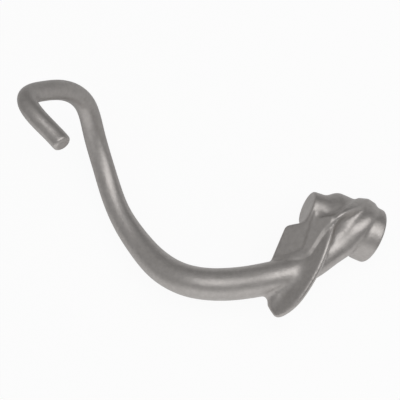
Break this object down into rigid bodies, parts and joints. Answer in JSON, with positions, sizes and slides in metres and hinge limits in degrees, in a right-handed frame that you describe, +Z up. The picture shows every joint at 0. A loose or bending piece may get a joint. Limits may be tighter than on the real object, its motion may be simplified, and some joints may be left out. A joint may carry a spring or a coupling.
{
  "type": "dough hook",
  "caption": "Cast spiral dough hook: drive hub with a blind socket and bayonet slot, a shield blade, and a tapered round arm that winds down to an upturned tip.",
  "frame": {"origin": "centre of the lying hook's box, on the surface it lies on", "axes": "+Z up from that surface, +X along the lying hook towards the hub, +Y towards the side where the bend is open"},
  "size_m": [0.1632, 0.1082, 0.0772],
  "materials": {
    "cast_aluminium": "burnished satin casting"
  },
  "bodies": {
    "root": {"dough_hook": "cast_aluminium"}
  },
  "joints": []
}
